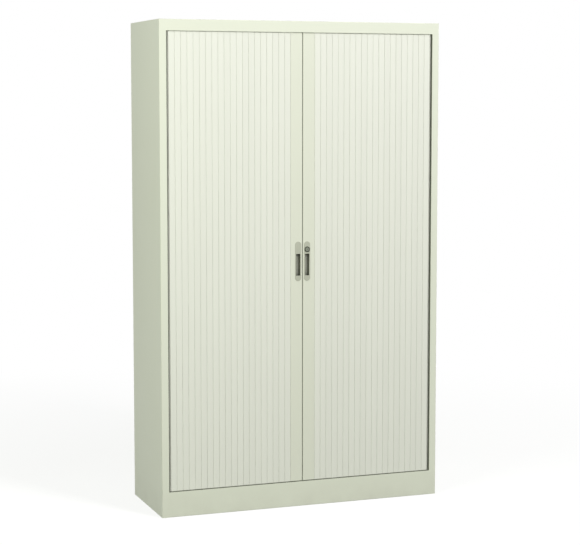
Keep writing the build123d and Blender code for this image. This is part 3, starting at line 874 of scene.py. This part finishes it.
# ---- curtain ----
@dataclass(frozen=True)
class Curtain:
    """One door's hinged slats: the run along the front, and the run round the corner.

    The door's travel is a whole number of slats, so the open door leaves the corner run as it was.
    A real door draws the front run into its side. Here the lead slat and the corner run's first
    slat leave out their half of the hinges at the two ends of the front run.
    """

    side: Side
    count: int = 23
    front_count: int = 20
    pitch: float = 0.0255
    depth: float = 0.007
    seam: float = 0.0006
    wall: float = 0.0011
    edge_round: float = 0.0007
    crown: float = 0.00022
    bead: float = 0.00105
    play: float = 0.0002
    socket_wall: float = 0.00085
    bead_steps: int = 12
    socket_start: float = math.radians(251)
    socket_end: float = math.radians(515)
    socket_steps: int = 12
    neck: float = 0.0008
    bottom: float = 0.0873
    top: float = 1.9465
    front_line: float = -0.2055
    side_line: float = 0.592
    corner: float = 0.032
    lead_width: float = 0.052
    fold_keep: float = 0.001
    unevenness: float = math.radians(0.35)
    seed: int = 5
    tolerance: float = 1e-8

    def on_path(self, way: float) -> Vector:
        """Return the place on the left curtain's middle line, a way from the front's middle."""
        corner_x = self.side_line - self.corner
        turn_length = self.corner * math.pi / 2
        corner_y = self.front_line + self.corner
        if way < corner_x:
            return Vector((-way, self.front_line))
        if way < corner_x + turn_length:
            turn = (way - corner_x) / self.corner
            return Vector(
                (-corner_x - self.corner * math.sin(turn), corner_y - self.corner * math.cos(turn))
            )
        return Vector((-self.side_line, corner_y + way - corner_x - turn_length))

    def hinges(self) -> list[Vector]:
        """Return the hinge points, one pitch apart in a straight line."""
        ways = [self.lead_width]
        for _ in range(self.count):
            low, high = ways[-1], ways[-1] + 2 * self.pitch
            while high - low > self.tolerance:
                middle = (low + high) / 2
                short = (self.on_path(middle) - self.on_path(ways[-1])).length < self.pitch
                low, high = (middle, high) if short else (low, middle)
            ways.append(low)
        return [self.on_path(way) for way in ways]

    def add_slat(self, bm: BMesh, hooked: bool) -> list[BMVert]:
        """Add one slat at the origin: X along the curtain, +Y to the front.

        Args:
            bm: Mesh of the whole curtain.
            hooked: Whether the slat has the hook for its inner neighbour's bead.

        Returns:
            The slat's vertices.
        """
        before = set(bm.verts)
        part = bmesh.new()
        half = self.pitch / 2
        face_y = self.depth / 2
        z = (self.bottom, self.top)
        edge = half - self.seam / 2
        box(part, (-edge, edge), (face_y - self.wall, face_y), z)
        for share in (-0.5, 0.0, 0.5):
            cut(part, part.faces[:], Vector((share * edge, 0, 0)), Vector((1, 0, 0)))
        round_off(
            part,
            edges_where(
                part,
                lambda a, b: near(a.y, face_y) and near(b.y, face_y)
                and near(abs(a.x), edge) and near(a.x, b.x),
            ),
            self.edge_round,
        )
        for vert in part.verts:
            if near(vert.co.y, face_y):
                vert.co.y += self.crown * (1 - (vert.co.x / edge) ** 2)
        root = half - 4 * self.bead
        box(part, (root - self.neck, root), (-self.neck / 2, face_y - self.wall), z)
        box(part, (root - self.neck, half), (-self.neck / 2, self.neck / 2), z)
        web = -half + self.seam / 2 + self.neck / 2
        box(part, (web, web + self.neck), (self.bead, face_y - self.wall), z)
        pin = bmesh.ops.create_circle(
            part, cap_ends=True, radius=self.bead, segments=self.bead_steps
        )["verts"]
        bmesh.ops.translate(part, vec=(half, 0, z[0]), verts=pin)
        pull(part, {face for vert in pin for face in vert.link_faces}, Vector((0, 0, z[1] - z[0])))
        if hooked:
            self.add_socket(part, -half, z)
        mesh = bpy.data.meshes.new("slat")
        bmesh.ops.recalc_face_normals(part, faces=part.faces[:])
        part.to_mesh(mesh)
        part.free()
        bm.from_mesh(mesh)
        bpy.data.meshes.remove(mesh)
        return [vert for vert in bm.verts if vert not in before]

    def add_socket(self, bm: BMesh, x: float, z: Span) -> None:
        """Add the hook that holds the neighbour's bead.

        Args:
            bm: Mesh of the slat.
            x: Place of the hinge.
            z: Lower and upper end of the slat.
        """
        inner = self.bead + self.play
        outer = inner + self.socket_wall
        start = self.socket_start
        corners = [
            bm.verts.new((radius * math.cos(start), radius * math.sin(start), height))
            for radius, height in ((inner, z[0]), (outer, z[0]), (outer, z[1]), (inner, z[1]))
        ]
        face = bm.faces.new(corners)
        before = set(bm.verts) - set(corners)
        bmesh.ops.spin(
            bm, geom=[face, *face.edges, *corners], cent=(0, 0, 0), axis=(0, 0, 1), dvec=(0, 0, 0),
            angle=self.socket_end - start, steps=self.socket_steps, use_merge=False,
            use_duplicate=False,
        )
        made = [vert for vert in bm.verts if vert not in before]
        bmesh.ops.translate(bm, vec=(x, 0, 0), verts=made)

    def lay_run(self, dice: random.Random, numbers: range) -> BMesh:
        """Lay a run of slats between their hinges.

        Args:
            dice: Source of the slats' small differences.
            numbers: Numbers of the slats, counted from the lead slat.

        Returns:
            The run's mesh.
        """
        bm = bmesh.new()
        tone = bm.verts.layers.float.new("slat_tone")
        rest = bm.verts.layers.float_vector.new("rest_place")
        points = self.hinges()
        for number in numbers:
            start, end = points[number], points[number + 1]
            own_tone, own_turn = dice.random(), dice.uniform(-1, 1) * self.unevenness
            step = end - start
            angle = math.atan2(step.y, step.x) + own_turn
            middle = (start + end) / 2
            place = Matrix.Translation((middle.x, middle.y, 0)) @ Matrix.Rotation(angle, 4, "Z")
            for vert in self.add_slat(bm, hooked=number != self.front_count):
                vert[tone] = own_tone
                vert[rest] = vert.co + Vector((number * self.pitch, 0, 0))
                vert.co = place @ vert.co
        if self.side is Side.RIGHT:
            bmesh.ops.scale(bm, vec=(-1, 1, 1), verts=bm.verts[:])
        return bm

    def build(self) -> None:
        """Build the front run, which rides on the door, and the corner run, which stays."""
        dice = random.Random(self.side.value + self.seed)
        word = self.side.word
        stands_for = (f"slats_{word}",)
        front = Piece(f"curtain_{word}", self.side.body, SLATS, Slot.CURTAIN, stands_for)
        made = front.make(self.lay_run(dice, range(self.front_count)))
        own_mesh(made)
        corner = Piece(f"curtain_corner_{word}", "cabinet", SLATS, Slot.CURTAIN, stands_for)
        corner.make(self.lay_run(dice, range(self.front_count, self.count)))


# ---- lead slats and handles ----
@dataclass(frozen=True)
class LeadSlat:
    """Closing profile at the meeting edge of a door, drawn as one closed shell with no hollow."""

    side: Side
    inner: float = 0.0015
    tube_end: float = 0.046
    seam: float = 0.0517
    front: float = -0.209
    back: float = -0.193
    lip: float = 0.0011
    bottom: float = 0.101
    top: float = 1.936
    edge_round: float = 0.0014
    lip_round: float = 0.00066
    cup_x: float = 0.0195
    cup_z: float = 0.9975
    cup_half_width: float = 0.0104
    cup_half_height: float = 0.0459
    cup_sink: float = 0.0126
    lock_z: float = 1.06
    lock_hole: float = 0.0099
    gap_shade_reach: float = 0.0024
    gap_shade_back: float = -0.196
    gap_shade_end: float = 0.0005
    gap_shade_round: float = 0.0006

    def build_gap_shade(self) -> Object:
        """Build the dark strip on the profile's inner side, which the other door closes on: painted
        shade that darkens the gap between the doors.
        """
        bm = bmesh.new()
        inner = self.side.value * self.inner
        tip = inner - self.side.value * self.gap_shade_reach
        x = (min(inner, tip), max(inner, tip))
        z = (self.bottom + self.gap_shade_end, self.top - self.gap_shade_end)
        box(bm, x, (self.front + self.edge_round, self.gap_shade_back), z)
        tips = edges_where(bm, lambda a, b: near(a.x, tip) and near(b.x, tip) and near(a.y, b.y))
        round_off(bm, tips, self.gap_shade_round)
        return Piece("door_gap_shade", self.side.body, SHADE_PILE, Slot.TRACK).make(bm)

    def build(self) -> Object:
        """Build the profile with the cup's cut-out, and return its object."""
        bm = bmesh.new()
        z = (self.bottom, self.top)
        box(bm, (self.inner, self.tube_end), (self.front, self.back), z)
        outer_side = faces_where(bm, lambda face, middle: near(middle.x, self.tube_end))
        cut(bm, outer_side, Vector((0, self.front + self.lip, 0)), Vector((0, 1, 0)))
        strip = faces_where(
            bm,
            lambda face, middle: near(middle.x, self.tube_end) and middle.y < self.front + self.lip,
        )
        pull(bm, strip, Vector((self.seam - self.tube_end, 0, 0)))
        round_off(
            bm,
            edges_where(
                bm,
                lambda a, b: near(a.x, b.x) and near(a.y, b.y)
                and (near(a.x, self.inner) or (near(a.x, self.tube_end) and near(a.y, self.back))),
            ),
            self.edge_round,
            segments=4,
        )
        round_off(
            bm,
            edges_where(
                bm,
                lambda a, b: near(a.x, b.x) and near(a.x, self.seam)
                and near(a.y, b.y) and near(a.y, self.front),
            ),
            self.lip_round,
        )
        cup = (self.cup_x - self.cup_half_width, self.cup_x + self.cup_half_width)
        rows = (self.cup_z - self.cup_half_height, self.cup_z + self.cup_half_height)
        pocket(bm, self.front, cup, rows, self.cup_sink)
        if self.side is Side.LEFT:
            bmesh.ops.scale(bm, vec=(-1, 1, 1), verts=bm.verts[:])
        word = self.side.word
        stands_for = (f"lead_{word}",)
        piece = Piece(f"lead_slat_{word}", self.side.body, LEAD_PAINT, Slot.PAINT, stands_for)
        made = piece.make(bm)
        if self.side is Side.RIGHT:
            drill(made, self.cup_x, self.lock_z, self.lock_hole)
        return made


@dataclass(frozen=True)
class HandlePlate:
    """Plate with rounded ends and a finger cup, on a lead slat."""

    side: Side
    x: float = 0.0195
    z: float = 1.012
    width: float = 0.026
    height: float = 0.161
    front: float = -0.2102
    back: float = -0.209
    rim_round: float = 0.00055
    cup_z: float = 0.9975
    cup_width: float = 0.018
    cup_height: float = 0.089
    cup_floor: float = -0.198
    cup_wall: float = 0.0012
    cup_corner: float = 0.0024
    floor_round: float = 0.0018
    mouth_round: float = 0.0005
    steps: int = 44
    lock_z: float = 1.06
    lock_hole: float = 0.0099

    def outline(self, grown: float, corner: float, y: float) -> RoundedOutline:
        """Return the cup's outline, grown all round, at a depth."""
        half = (self.cup_width / 2 + grown, self.cup_height / 2 + grown)
        return RoundedOutline(half, corner, Vector((self.side.value * self.x, y, self.cup_z)))

    def build(self) -> Object:
        """Build the plate and its cup in one closed shell, and return its object."""
        bm = bmesh.new()
        x = self.side.value * self.x
        half = (self.width / 2, self.height / 2)
        outer_corner = self.cup_corner + self.cup_wall
        back, face = (
            RoundedOutline(half, half[0], Vector((x, y, self.z))) for y in (self.back, self.front)
        )
        mouth, floor = (
            self.outline(0.0, self.cup_corner, y) for y in (self.front, self.cup_floor)
        )
        shell_mouth, shell_floor = (
            self.outline(self.cup_wall, outer_corner, y)
            for y in (self.back, self.cup_floor + self.cup_wall)
        )
        back_edges = back.start(bm, self.steps)
        face_edges = face.grow(bm, back_edges, back)
        mouth_edges = mouth.grow(bm, face_edges, face)
        floor_edges = floor.grow(bm, mouth_edges, mouth)
        shell_edges = shell_floor.grow(bm, shell_mouth.grow(bm, back_edges, back), shell_mouth)
        for edges in (floor_edges, shell_edges):
            bmesh.ops.edgeloop_fill(bm, edges=edges)
        bmesh.ops.recalc_face_normals(bm, faces=bm.faces[:])
        round_off(bm, face_edges, self.rim_round)
        round_off(bm, mouth_edges, self.mouth_round)
        round_off(bm, floor_edges, self.floor_round, segments=4)
        round_off(bm, shell_edges, self.floor_round)
        word = self.side.word
        piece = Piece(f"handle_plate_{word}", self.side.body, PLATE, Slot.PLATE, (f"plate_{word}",))
        made = piece.make(bm)
        if self.side is Side.RIGHT:
            drill(made, self.x, self.lock_z, self.lock_hole)
        return made


# ---- lock ----
@dataclass(frozen=True)
class Lock:
    """Cylinder lock in the right lead slat: a fixed barrel and the plug that turns."""

    x: float = 0.0195
    z: float = 1.06
    face: float = 0.2117
    seat: float = 0.2102
    back: float = 0.188
    bezel: float = 0.012
    barrel: float = 0.0095
    bore: float = 0.00705
    plug: float = 0.007
    plug_sink: float = 0.0003
    tail: float = 0.004
    tail_end: float = 0.1852
    keyway: Span = (0.0018, 0.009)
    keyway_depth: float = 0.008
    plug_round: float = 0.00035
    tail_lap: float = 0.0005
    tail_steps: int = 24
    steps: int = 56

    def to_lock(self) -> Matrix:
        """Return the turn that lays a spun shape's +Z along -Y, at the lock's axis."""
        return Matrix.Translation((self.x, 0, self.z)) @ Matrix.Rotation(math.pi / 2, 4, "X")

    def barrel_outline(self) -> list[Span]:
        """Return radius and reach of the barrel's section, from the bore's mouth outwards."""
        groove = (self.bezel + self.bore) / 2
        return [
            (self.bore, self.face - 0.0004),
            (self.bore + 0.0004, self.face - 0.0001),
            (groove - 0.0006, self.face),
            (groove - 0.0004, self.face - 0.00025),
            (groove + 0.0001, self.face - 0.00025),
            (groove + 0.0003, self.face),
            (self.bezel - 0.0012, self.face - 0.0001),
            (self.bezel - 0.0004, self.face - 0.0005),
            (self.bezel, self.face - 0.0011),
            (self.bezel, self.seat),
            (self.barrel, self.seat),
            (self.barrel, self.back),
            (self.bore, self.back),
        ]

    def build(self) -> None:
        """Build the barrel and the plug."""
        bm = bmesh.new()
        made = turned(bm, self.barrel_outline(), self.steps, closed=True)
        bmesh.ops.transform(bm, matrix=self.to_lock(), verts=made)
        Piece("lock_barrel", Side.RIGHT.body, BEZEL, Slot.LOCK, ("lock_body",)).make(bm)
        self.build_plug()

    def build_plug(self) -> None:
        """Build the plug with its keyway and its tail."""
        bm = bmesh.new()
        front = -self.face + self.plug_sink
        made = ring(bm, self.plug, self.steps)
        bmesh.ops.translate(bm, vec=(0, front, self.z), verts=made)
        pull(bm, bm.faces[:], Vector((0, -self.back - front, 0)))
        bmesh.ops.recalc_face_normals(bm, faces=bm.faces[:])
        rim = edges_where(bm, lambda a, b: near(a.y, front) and near(b.y, front))
        round_off(bm, rim, self.plug_round)
        wide, high = (size / 2 for size in self.keyway)
        pocket(bm, front, (-wide, wide), (self.z - high, self.z + high), self.keyway_depth)
        rod = ring(bm, self.tail, self.tail_steps)
        bmesh.ops.translate(bm, vec=(0, -self.back - self.tail_lap, self.z), verts=rod)
        pull(
            bm, {face for vert in rod for face in vert.link_faces},
            Vector((0, self.back + self.tail_lap - self.tail_end, 0)),
        )
        bmesh.ops.translate(bm, vec=(self.x, 0, 0), verts=bm.verts[:])
        Piece("lock_cylinder", "lock", CYLINDER, Slot.LOCK, ("lock_plug",)).make(bm)


# ---- small parts ----
@dataclass(frozen=True)
class BackRivets:
    """Two rows of blind rivets in the back panel."""

    count: int = 8
    span: float = 1.08
    rows: Span = (0.07, 1.965)
    face: float = 0.214
    head: float = 0.004
    head_height: float = 0.0009
    shank: float = 0.002
    shank_end: float = 0.2108
    hole: float = 0.0011

    def build(self) -> Object:
        """Build all the rivets in one piece, and return its object."""
        top = self.face + self.head_height
        outline = [
            (0.0, top - 0.0006),
            (self.hole, top - 0.0006),
            (self.hole + 0.0001, top - 0.00005),
            (self.hole + 0.0005, top),
            (self.head - 0.0014, top - 0.0002),
            (self.head - 0.0002, self.face + 0.0003),
            (self.head, self.face),
            (self.shank, self.face),
            (self.shank, self.shank_end),
            (0.0, self.shank_end),
        ]
        bm = bmesh.new()
        step = self.span / (self.count - 1)
        for height in self.rows:
            for number in range(self.count):
                made = turned(bm, outline, 16, closed=False)
                place = (-self.span / 2 + number * step, 0, height)
                lay = Matrix.Translation(place) @ Matrix.Rotation(-math.pi / 2, 4, "X")
                bmesh.ops.transform(bm, matrix=lay, verts=made)
        return Piece("blind_rivets", "cabinet", ZINC, Slot.ZINC, ("back_rivets",)).make(bm)


@dataclass(frozen=True)
class LevellingFoot:
    """Pad and threaded stud of one foot."""

    word: str
    x: float
    y: float
    low: float = 0.003
    pad_top: float = 0.011
    pad: float = 0.02
    stud_top: float = 0.07
    crest: float = 0.005
    root: float = 0.0044
    thread: float = 0.0015
    stud_sink: float = 0.001
    stud_chamfer: float = 0.0008

    def build(self) -> None:
        """Build the pad and the stud."""
        node = f"foot_{self.word}"
        move = Matrix.Translation((self.x, self.y, 0))
        pad = [
            (0.0, self.low + 0.0008),
            (self.pad - 0.004, self.low + 0.0008),
            (self.pad - 0.003, self.low),
            (self.pad - 0.0006, self.low),
            (self.pad, self.low + 0.0006),
            (self.pad, self.low + 0.0036),
            (self.pad - 0.0008, self.low + 0.0046),
            (self.pad - 0.0095, self.pad_top - 0.0012),
            (self.pad - 0.0105, self.pad_top),
            (0.0, self.pad_top),
        ]
        sunk = self.pad_top - self.stud_sink
        stud: list[Span] = [(0.0, sunk), (self.root, sunk)]
        turns = int((self.stud_top - self.pad_top - self.stud_sink) / self.thread)
        for number in range(turns):
            height = self.pad_top + number * self.thread
            stud += [
                (self.root, height),
                (self.crest, height + 0.42 * self.thread),
                (self.crest, height + 0.58 * self.thread),
            ]
        stud += [
            (self.root, self.pad_top + turns * self.thread),
            (self.root - self.stud_chamfer, self.stud_top),
            (0.0, self.stud_top),
        ]
        for name, outline, steps, finish, slot in (
            (f"foot_pad_{self.word}", pad, 32, PAD_RUBBER, Slot.ZINC),
            (f"foot_stud_{self.word}", stud, 18, ZINC, Slot.ZINC),
        ):
            bm = bmesh.new()
            made = turned(bm, outline, steps, closed=False)
            bmesh.ops.transform(bm, matrix=move, verts=made)
            Piece(name, node, finish, slot, (node,)).make(bm)


@dataclass(frozen=True)
class OpeningShadeStrip:
    """Dark strip behind the opening's hem, painted shade that stands in for the shadow in the
    curtain's running gap.
    """

    half_width: float = 0.571
    low: float = 0.102
    high: float = 1.935
    back: float = -0.2102
    hem_back: float = -0.213
    left_lip: float = 0.0036
    right_lip: float = 0.0042
    bottom_lip: float = 0.0035
    side_hold: float = 0.007
    end_hold: float = 0.002
    tip_round: float = 0.0011

    def build(self) -> Object:
        """Build the strips of both sides and the bottom in one piece, and return its object."""
        bm = bmesh.new()
        y = (self.hem_back, self.back)
        outer = self.half_width + self.side_hold
        left, right = self.left_lip - self.half_width, self.half_width - self.right_lip
        z = (self.low - self.end_hold, self.high + self.end_hold)
        box(bm, (-outer, left), y, z)
        box(bm, (right, outer), y, z)
        box(bm, (left, right), y, (z[0], self.low + self.bottom_lip))
        tips = edges_where(
            bm,
            lambda a, b: near(a.y, b.y)
            and (
                (near(a.x, b.x) and abs(a.x) < self.half_width and (b - a).length > self.half_width)
                or (near(a.z, b.z) and self.low < a.z < self.high and not near(a.x, b.x))
            ),
        )
        round_off(bm, tips, self.tip_round, segments=4)
        return Piece("opening_shade_strips", "cabinet", SHADE_PILE, Slot.TRACK).make(bm)


# ---- studio ----
@dataclass(frozen=True)
class Lamp:
    """A soft square area lamp."""

    name: str
    place: Place
    target: Place
    size: float
    power: float
    colour: Colour = (1.0, 1.0, 1.0)

    def build(self) -> None:
        """Hang the lamp and turn it to its target."""
        data = bpy.data.lights.new(self.name, "AREA")
        data.shape = "SQUARE"
        data.size = self.size
        data.energy = self.power
        data.color = self.colour
        lamp = bpy.data.objects.new(self.name, data)
        lamp.location = self.place
        aim = Vector(self.target) - Vector(self.place)
        lamp.rotation_euler = aim.to_track_quat("-Z", "Y").to_euler()
        bpy.context.scene.collection.objects.link(lamp)


@dataclass(frozen=True)
class Studio:
    """White room with a pale floor, soft lamps and the camera."""

    ambient: float = 0.5
    ambient_tint: Colour = (0.95, 1.0, 0.92)
    floor_colour: Colour = (244, 244, 242)
    floor_bounce: Colour = (92, 96, 84)
    floor_white: float = 0.8
    floor_fade: Span = (1.2, 3.5)
    floor_size: float = 30.0
    eye: Place = (-2.3490, -6.4357, 1.6679)
    yaw: float = -20.228
    pitch: float = -5.4176
    lens: float = 102.003
    shift: float = -0.03
    lamps: tuple[Lamp, ...] = (
        Lamp("key", (2.4, -5.2, 4.4), (0.0, -0.2, 1.3), 1.3, 256.0, (1.0, 0.985, 1.02)),
        Lamp("side_fill", (-3.0, -2.0, 2.1), (-0.6, -0.1, 1.4), 1.6, 54.0, (0.97, 1.0, 0.9)),
        Lamp("back_fill", (4.0, 3.0, 1.2), (0.0, 0.1, 1.1), 2.4, 95.0, (1.0, 0.985, 1.02)),
    )

    def build(self) -> None:
        """Build the room, the lamps and the camera."""
        scene = bpy.context.scene
        scene.view_settings.view_transform = "Standard"
        self.light_world(scene)
        self.lay_floor(scene)
        for lamp in self.lamps:
            lamp.build()
        self.place_camera(scene)

    def seen(self, w: Wiring) -> NodeSocket:
        """Return 1 where a ray comes from the camera, a gloss or clear glass."""
        path = w.add("ShaderNodeLightPath").outputs
        gloss = w.math("MAXIMUM", path["Is Glossy Ray"], path["Is Transmission Ray"])
        return w.math("MAXIMUM", path["Is Camera Ray"], gloss)

    def light_world(self, scene: bpy.types.Scene) -> None:
        """Give the world an even pale light, seen as white."""
        world = bpy.data.worlds.new("white_room")
        world.use_nodes = True
        world.node_tree.nodes.clear()
        w = Wiring(world.node_tree)
        tint = [*(part * self.ambient for part in self.ambient_tint), 1.0]
        colour = w.mix(self.seen(w), tint, (1.0, 1.0, 1.0, 1.0))
        sky = w.add("ShaderNodeBackground", {"Color": colour, "Strength": 1.0})
        w.add("ShaderNodeOutputWorld", {"Surface": sky.outputs[0]})
        scene.world = world

    def lay_floor(self, scene: bpy.types.Scene) -> None:
        """Lay the floor: pale, whiter to the eye, and white far from the cabinet."""
        bm = bmesh.new()
        bmesh.ops.create_grid(bm, x_segments=8, y_segments=8, size=self.floor_size)
        mesh = bpy.data.meshes.new("studio_floor")
        bm.to_mesh(mesh)
        bm.free()
        floor = bpy.data.objects.new("studio_floor", mesh)
        scene.collection.objects.link(floor)
        paper = bpy.data.materials.new("floor_paper")
        paper.use_nodes = True
        paper.node_tree.nodes.clear()
        w = Wiring(paper.node_tree)
        place = w.add("ShaderNodeTexCoord").outputs["Object"]
        reach = w.add("ShaderNodeVectorMath", {0: place}, operation="LENGTH").outputs["Value"]
        white = w.ramp(reach, self.floor_fade, (self.floor_white, 1.0))
        seen = self.seen(w)
        share = w.times(seen, white)
        cloud = w.noise(place, 1.5, 3.0)
        paper_colour = w.mix(seen, linear(self.floor_bounce), linear(self.floor_colour))
        base = w.scaled(paper_colour, w.ramp(cloud, (0.3, 0.7), (0.985, 1.015)))
        matt = w.add("ShaderNodeBsdfDiffuse", {"Color": base, "Roughness": 0.9})
        glow = w.add("ShaderNodeEmission", {"Color": (1.0, 1.0, 1.0, 1.0), "Strength": 1.0})
        both = w.add("ShaderNodeMixShader", {0: share, 1: matt.outputs[0], 2: glow.outputs[0]})
        w.add("ShaderNodeOutputMaterial", {"Surface": both.outputs[0]})
        mesh.materials.append(paper)

    def place_camera(self, scene: bpy.types.Scene) -> None:
        """Stand the camera to the left of the doors, above half height."""
        data = bpy.data.cameras.new("camera")
        data.sensor_width = 36.0
        data.lens = self.lens
        data.shift_y = self.shift
        data.clip_end = 100.0
        camera = bpy.data.objects.new("camera", data)
        camera.location = self.eye
        camera.rotation_euler = (math.radians(90 + self.pitch), 0.0, math.radians(self.yaw))
        scene.collection.objects.link(camera)
        scene.camera = camera


def main() -> None:
    """Build every sub-assembly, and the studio."""
    logging.basicConfig(level=logging.INFO, format="%(message)s")
    Carcass().dress()
    for side in Side:
        Curtain(side).build()
        LeadSlat(side).build()
        HandlePlate(side).build()
    Lock().build()
    LeadSlat(Side.LEFT).build_gap_shade()
    OpeningShadeStrip().build()
    BackRivets().build()
    for row, y in FOOT_ROWS:
        for side in Side:
            LevellingFoot(f"{row}_{side.word}", side.value * FOOT_X, y).build()
    Studio().build()


if __name__ == "__main__":
    main()
